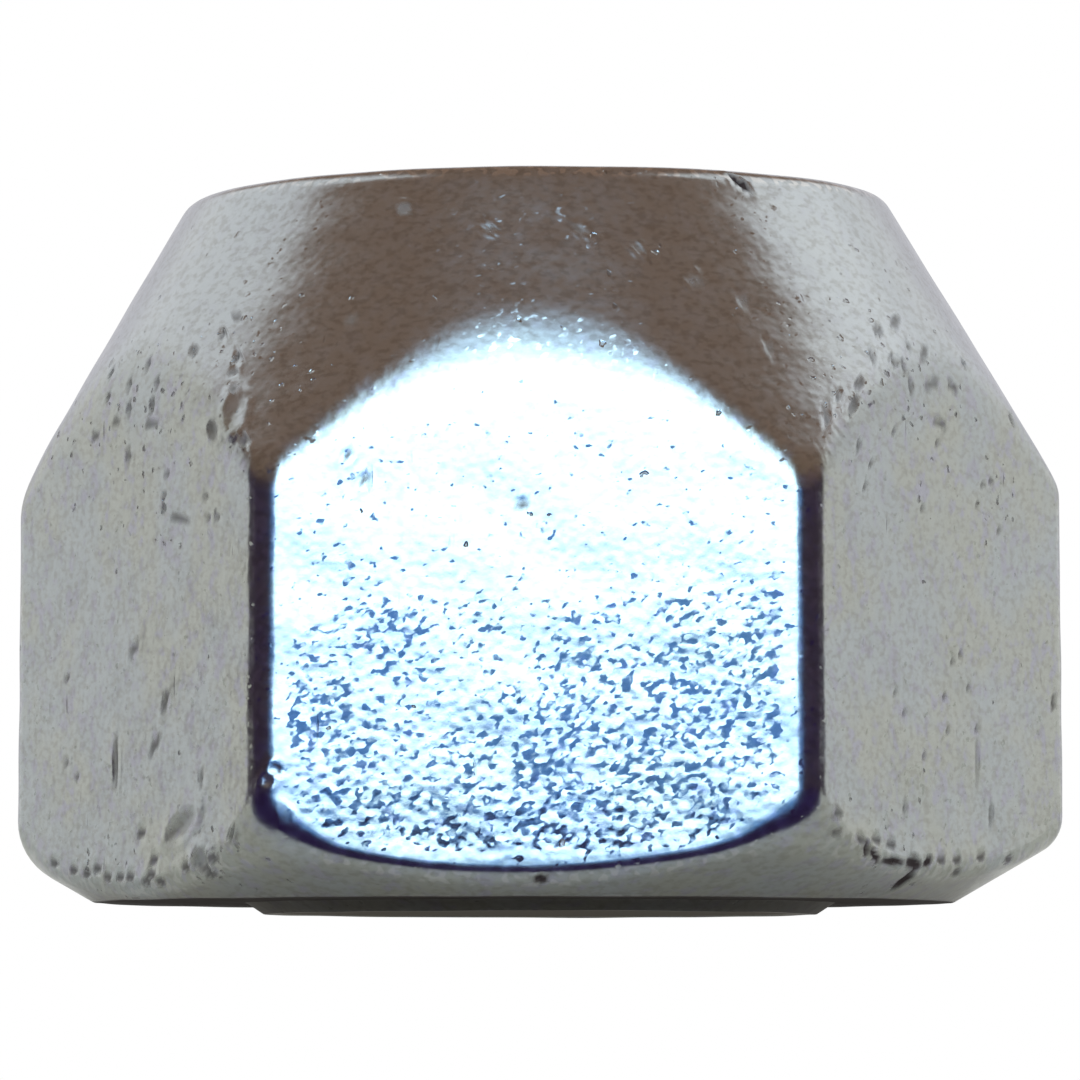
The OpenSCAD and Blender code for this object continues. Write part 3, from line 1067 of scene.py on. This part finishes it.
def card_material(stage):
    """The dim side of the room, as the metal sees it: brown, with a cool soft window in it
    over the camera and blue at the window's foot. Past its edge the card is clear, and
    straight behind it is grey. With the unit direction from the nut, the edge is where its
    scalar product with CARD_LEAN is low, or straight overhead."""
    material = bpy.data.materials.new("dim_card")
    tree, surface = fresh_tree(material, "Material")
    way = vectors(tree, "NORMALIZE", add_node(tree, "TexCoord")["Object"])[0]
    x, y, z = split(tree, way)
    aside = maths(tree, "ABSOLUTE", x)
    front = between(tree, y, *FRONT)
    fall = between(tree, z, *WINDOW_TOP, 1.0, 0.0, "LINEAR")
    core = times(tree, maths(tree, "POWER", fall, WINDOW_FADE), between(tree, z, *WINDOW_FOOT))
    core = times(tree, times(tree, core, fading(tree, aside, *WINDOW_SIDE)), front)
    brown = blend(tree, between(tree, z, *DARK_TOP), stage.dark_side, stage.dim_side)
    low = times(tree, fading(tree, z, *BLUE_TOP), fading(tree, aside, *BLUE_EDGE))
    brown = blend(tree, times(tree, low, front), brown, stage.blue_side)
    shaded = mix_shaders(tree, core, emission(tree, brown),
                         emission(tree, stage.window, stage.window_strength))
    lean = vectors(tree, "DOT_PRODUCT", way, CARD_LEAN)["Value"]
    over = times(tree, fading(tree, aside, *OVERHEAD_SIDE), fading(tree, y, *OVERHEAD_BACK))
    edge = times(tree, between(tree, lean, *CARD_EDGE), maths(tree, "SUBTRACT", 1.0, over))
    rest = mix_shaders(tree, between(tree, y, *BEHIND), add_node(tree, "BsdfTransparent")[0],
                       emission(tree, stage.back_side))
    plug(tree, surface, mix_shaders(tree, edge, shaded, rest))
    return material


def make_card(stage):
    """Domed card round the nut, from the floor to overhead, open at the back where it is
    clear. Its points are the radius times (cos e sin a, -cos e cos a, sin e) for azimuth a and
    elevation e. Only glossy and transmitted rays see it, so it dims nothing."""
    columns, rows = CARD_GRID
    azimuth, elevation = np.meshgrid(np.radians(np.linspace(-180, 180, columns)),
                                     np.radians(np.linspace(-4, 90, rows)), indexing="ij")
    points = CARD_RADIUS * np.stack([np.cos(elevation) * np.sin(azimuth),
                                     -np.cos(elevation) * np.cos(azimuth),
                                     np.sin(elevation)], 2)
    # The first and the last column lie together, so the quads between them are left out.
    faces = grid_quads(columns, rows)[:1 - rows]
    card = stage_piece("dim_card", points.reshape(-1, 3).tolist(), faces.tolist(),
                       card_material(stage))
    card.visible_camera = False
    card.visible_diffuse = False
    card.visible_shadow = False


def make_world(stage):
    """White room. Camera, glossy and transmitted rays see plain white."""
    world = bpy.data.worlds.new("soft_room")
    bpy.context.scene.world = world
    tree, surface = fresh_tree(world, "World")
    seen = ray_mask(tree, "Is Camera Ray", "Is Glossy Ray", "Is Transmission Ray")
    shown = blend(tree, seen, stage.room, WHITE)
    plug(tree, surface, add_node(tree, "Background", Color=shown, Strength=1.0)[0])


def direction_turn(way):
    """Euler angles of a lamp or camera that looks along a direction, with Z up."""
    x, y, z = way
    return (math.atan2(math.hypot(x, y), -z), 0.0, math.atan2(y, x) - math.pi / 2)


def aimed(name, data, place, height):
    """Adds a lamp or camera at a place, turned to a height on the nut's axis."""
    holder = bpy.data.objects.new(name, data)
    bpy.context.scene.collection.objects.link(holder)
    holder.location = place
    holder.rotation_euler = direction_turn((-place[0], -place[1], height - place[2]))
    return holder


def make_lamp(stage):
    """Square soft lamp behind the nut, which the camera doesn't see."""
    lamp = bpy.data.lights.new("key_lamp", "AREA")
    lamp.shape = "RECTANGLE"
    lamp.size = lamp.size_y = LAMP_SIZE
    lamp.energy = stage.key_power
    lamp.color = stage.key_light
    aimed("key_lamp", lamp, LAMP_PLACE, stage.aim_height).visible_camera = False


def make_camera(stage):
    """Camera near the floor in front of the nut, aimed a little up at its axis."""
    lens = bpy.data.cameras.new("camera")
    lens.angle = 2 * stage.half_field
    lens.clip_start = MM
    turn = stage.camera_turn
    place = (stage.camera_distance * math.sin(turn), -stage.camera_distance * math.cos(turn),
             stage.camera_height)
    bpy.context.scene.camera = aimed("camera", lens, place, stage.aim_height)


# ---------------------------------------------------------------- operators

class LUGNUT_OT_body(bpy.types.Operator):
    """Build the nut's worn skin and its thread as one closed piece"""
    bl_idname = "lugnut.body"
    bl_label = "Lug Nut"

    def execute(self, context):
        scene = context.scene
        sizes = scene.lug_nut_sizes
        points, quads, triangles, masks = build_nut(sizes)
        mesh = bpy.data.meshes.new("lug_nut_body")
        fill_mesh(mesh, points, quads, triangles)
        for name, values in masks.items():
            set_values(mesh, name, values)
        nut = bpy.data.objects.new("lug_nut_body", mesh)
        scene.collection.objects.link(nut)
        pits, grain = pit_group(), grain_group()
        mesh.materials.append(zinc_material(scene.lug_nut_finish, pits, grain))
        mesh.materials.append(thread_material(scene.lug_nut_finish, pits, grain))
        reach = np.hypot(*np.array([p.center[:2] for p in mesh.polygons]).T)
        inside = (reach < sizes.thread / 2 + THREAD_SOFT).astype(np.int32)
        mesh.polygons.foreach_set("material_index", inside)
        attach(nut, "root")
        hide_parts(NODE)
        return {"FINISHED"}


class LUGNUT_OT_stage(bpy.types.Operator):
    """Set up the floor, the light and the camera"""
    bl_idname = "lugnut.stage"
    bl_label = "Stage"

    def execute(self, context):
        stage = context.scene.lug_nut_stage
        make_floor(stage)
        make_card(stage)
        make_world(stage)
        make_lamp(stage)
        make_camera(stage)
        return {"FINISHED"}


class LUGNUT_PT_panel(bpy.types.Panel):
    """Sizes, finish and stage of the lug nut"""
    bl_idname = "LUGNUT_PT_panel"
    bl_label = "Lug Nut"
    bl_space_type = "VIEW_3D"
    bl_region_type = "UI"
    bl_category = "Lug Nut"

    def draw(self, context):
        for name in ("lug_nut_sizes", "lug_nut_finish", "lug_nut_stage"):
            settings = getattr(context.scene, name)
            box = self.layout.box()
            for prop in settings.bl_rna.properties:
                if prop.identifier in settings.__annotations__:
                    box.prop(settings, prop.identifier)
        self.layout.operator(LUGNUT_OT_body.bl_idname)
        self.layout.operator(LUGNUT_OT_stage.bl_idname)


CLASSES = (LugNutSizes, LugNutFinish, LugNutStage, LUGNUT_OT_body, LUGNUT_OT_stage,
           LUGNUT_PT_panel)


def register():
    """Registers the classes and hangs the settings on the scene."""
    for cls in CLASSES:
        bpy.utils.register_class(cls)
    bpy.types.Scene.lug_nut_sizes = bpy.props.PointerProperty(type=LugNutSizes)
    bpy.types.Scene.lug_nut_finish = bpy.props.PointerProperty(type=LugNutFinish)
    bpy.types.Scene.lug_nut_stage = bpy.props.PointerProperty(type=LugNutStage)


def unregister():
    """Takes the settings and the classes away again."""
    del bpy.types.Scene.lug_nut_stage
    del bpy.types.Scene.lug_nut_finish
    del bpy.types.Scene.lug_nut_sizes
    for cls in reversed(CLASSES):
        bpy.utils.unregister_class(cls)


def main():
    """Registers the add-on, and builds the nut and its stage."""
    register()
    bpy.context.scene.view_settings.view_transform = "Standard"
    bpy.ops.lugnut.body()
    bpy.ops.lugnut.stage()


if __name__ == "__main__":
    main()
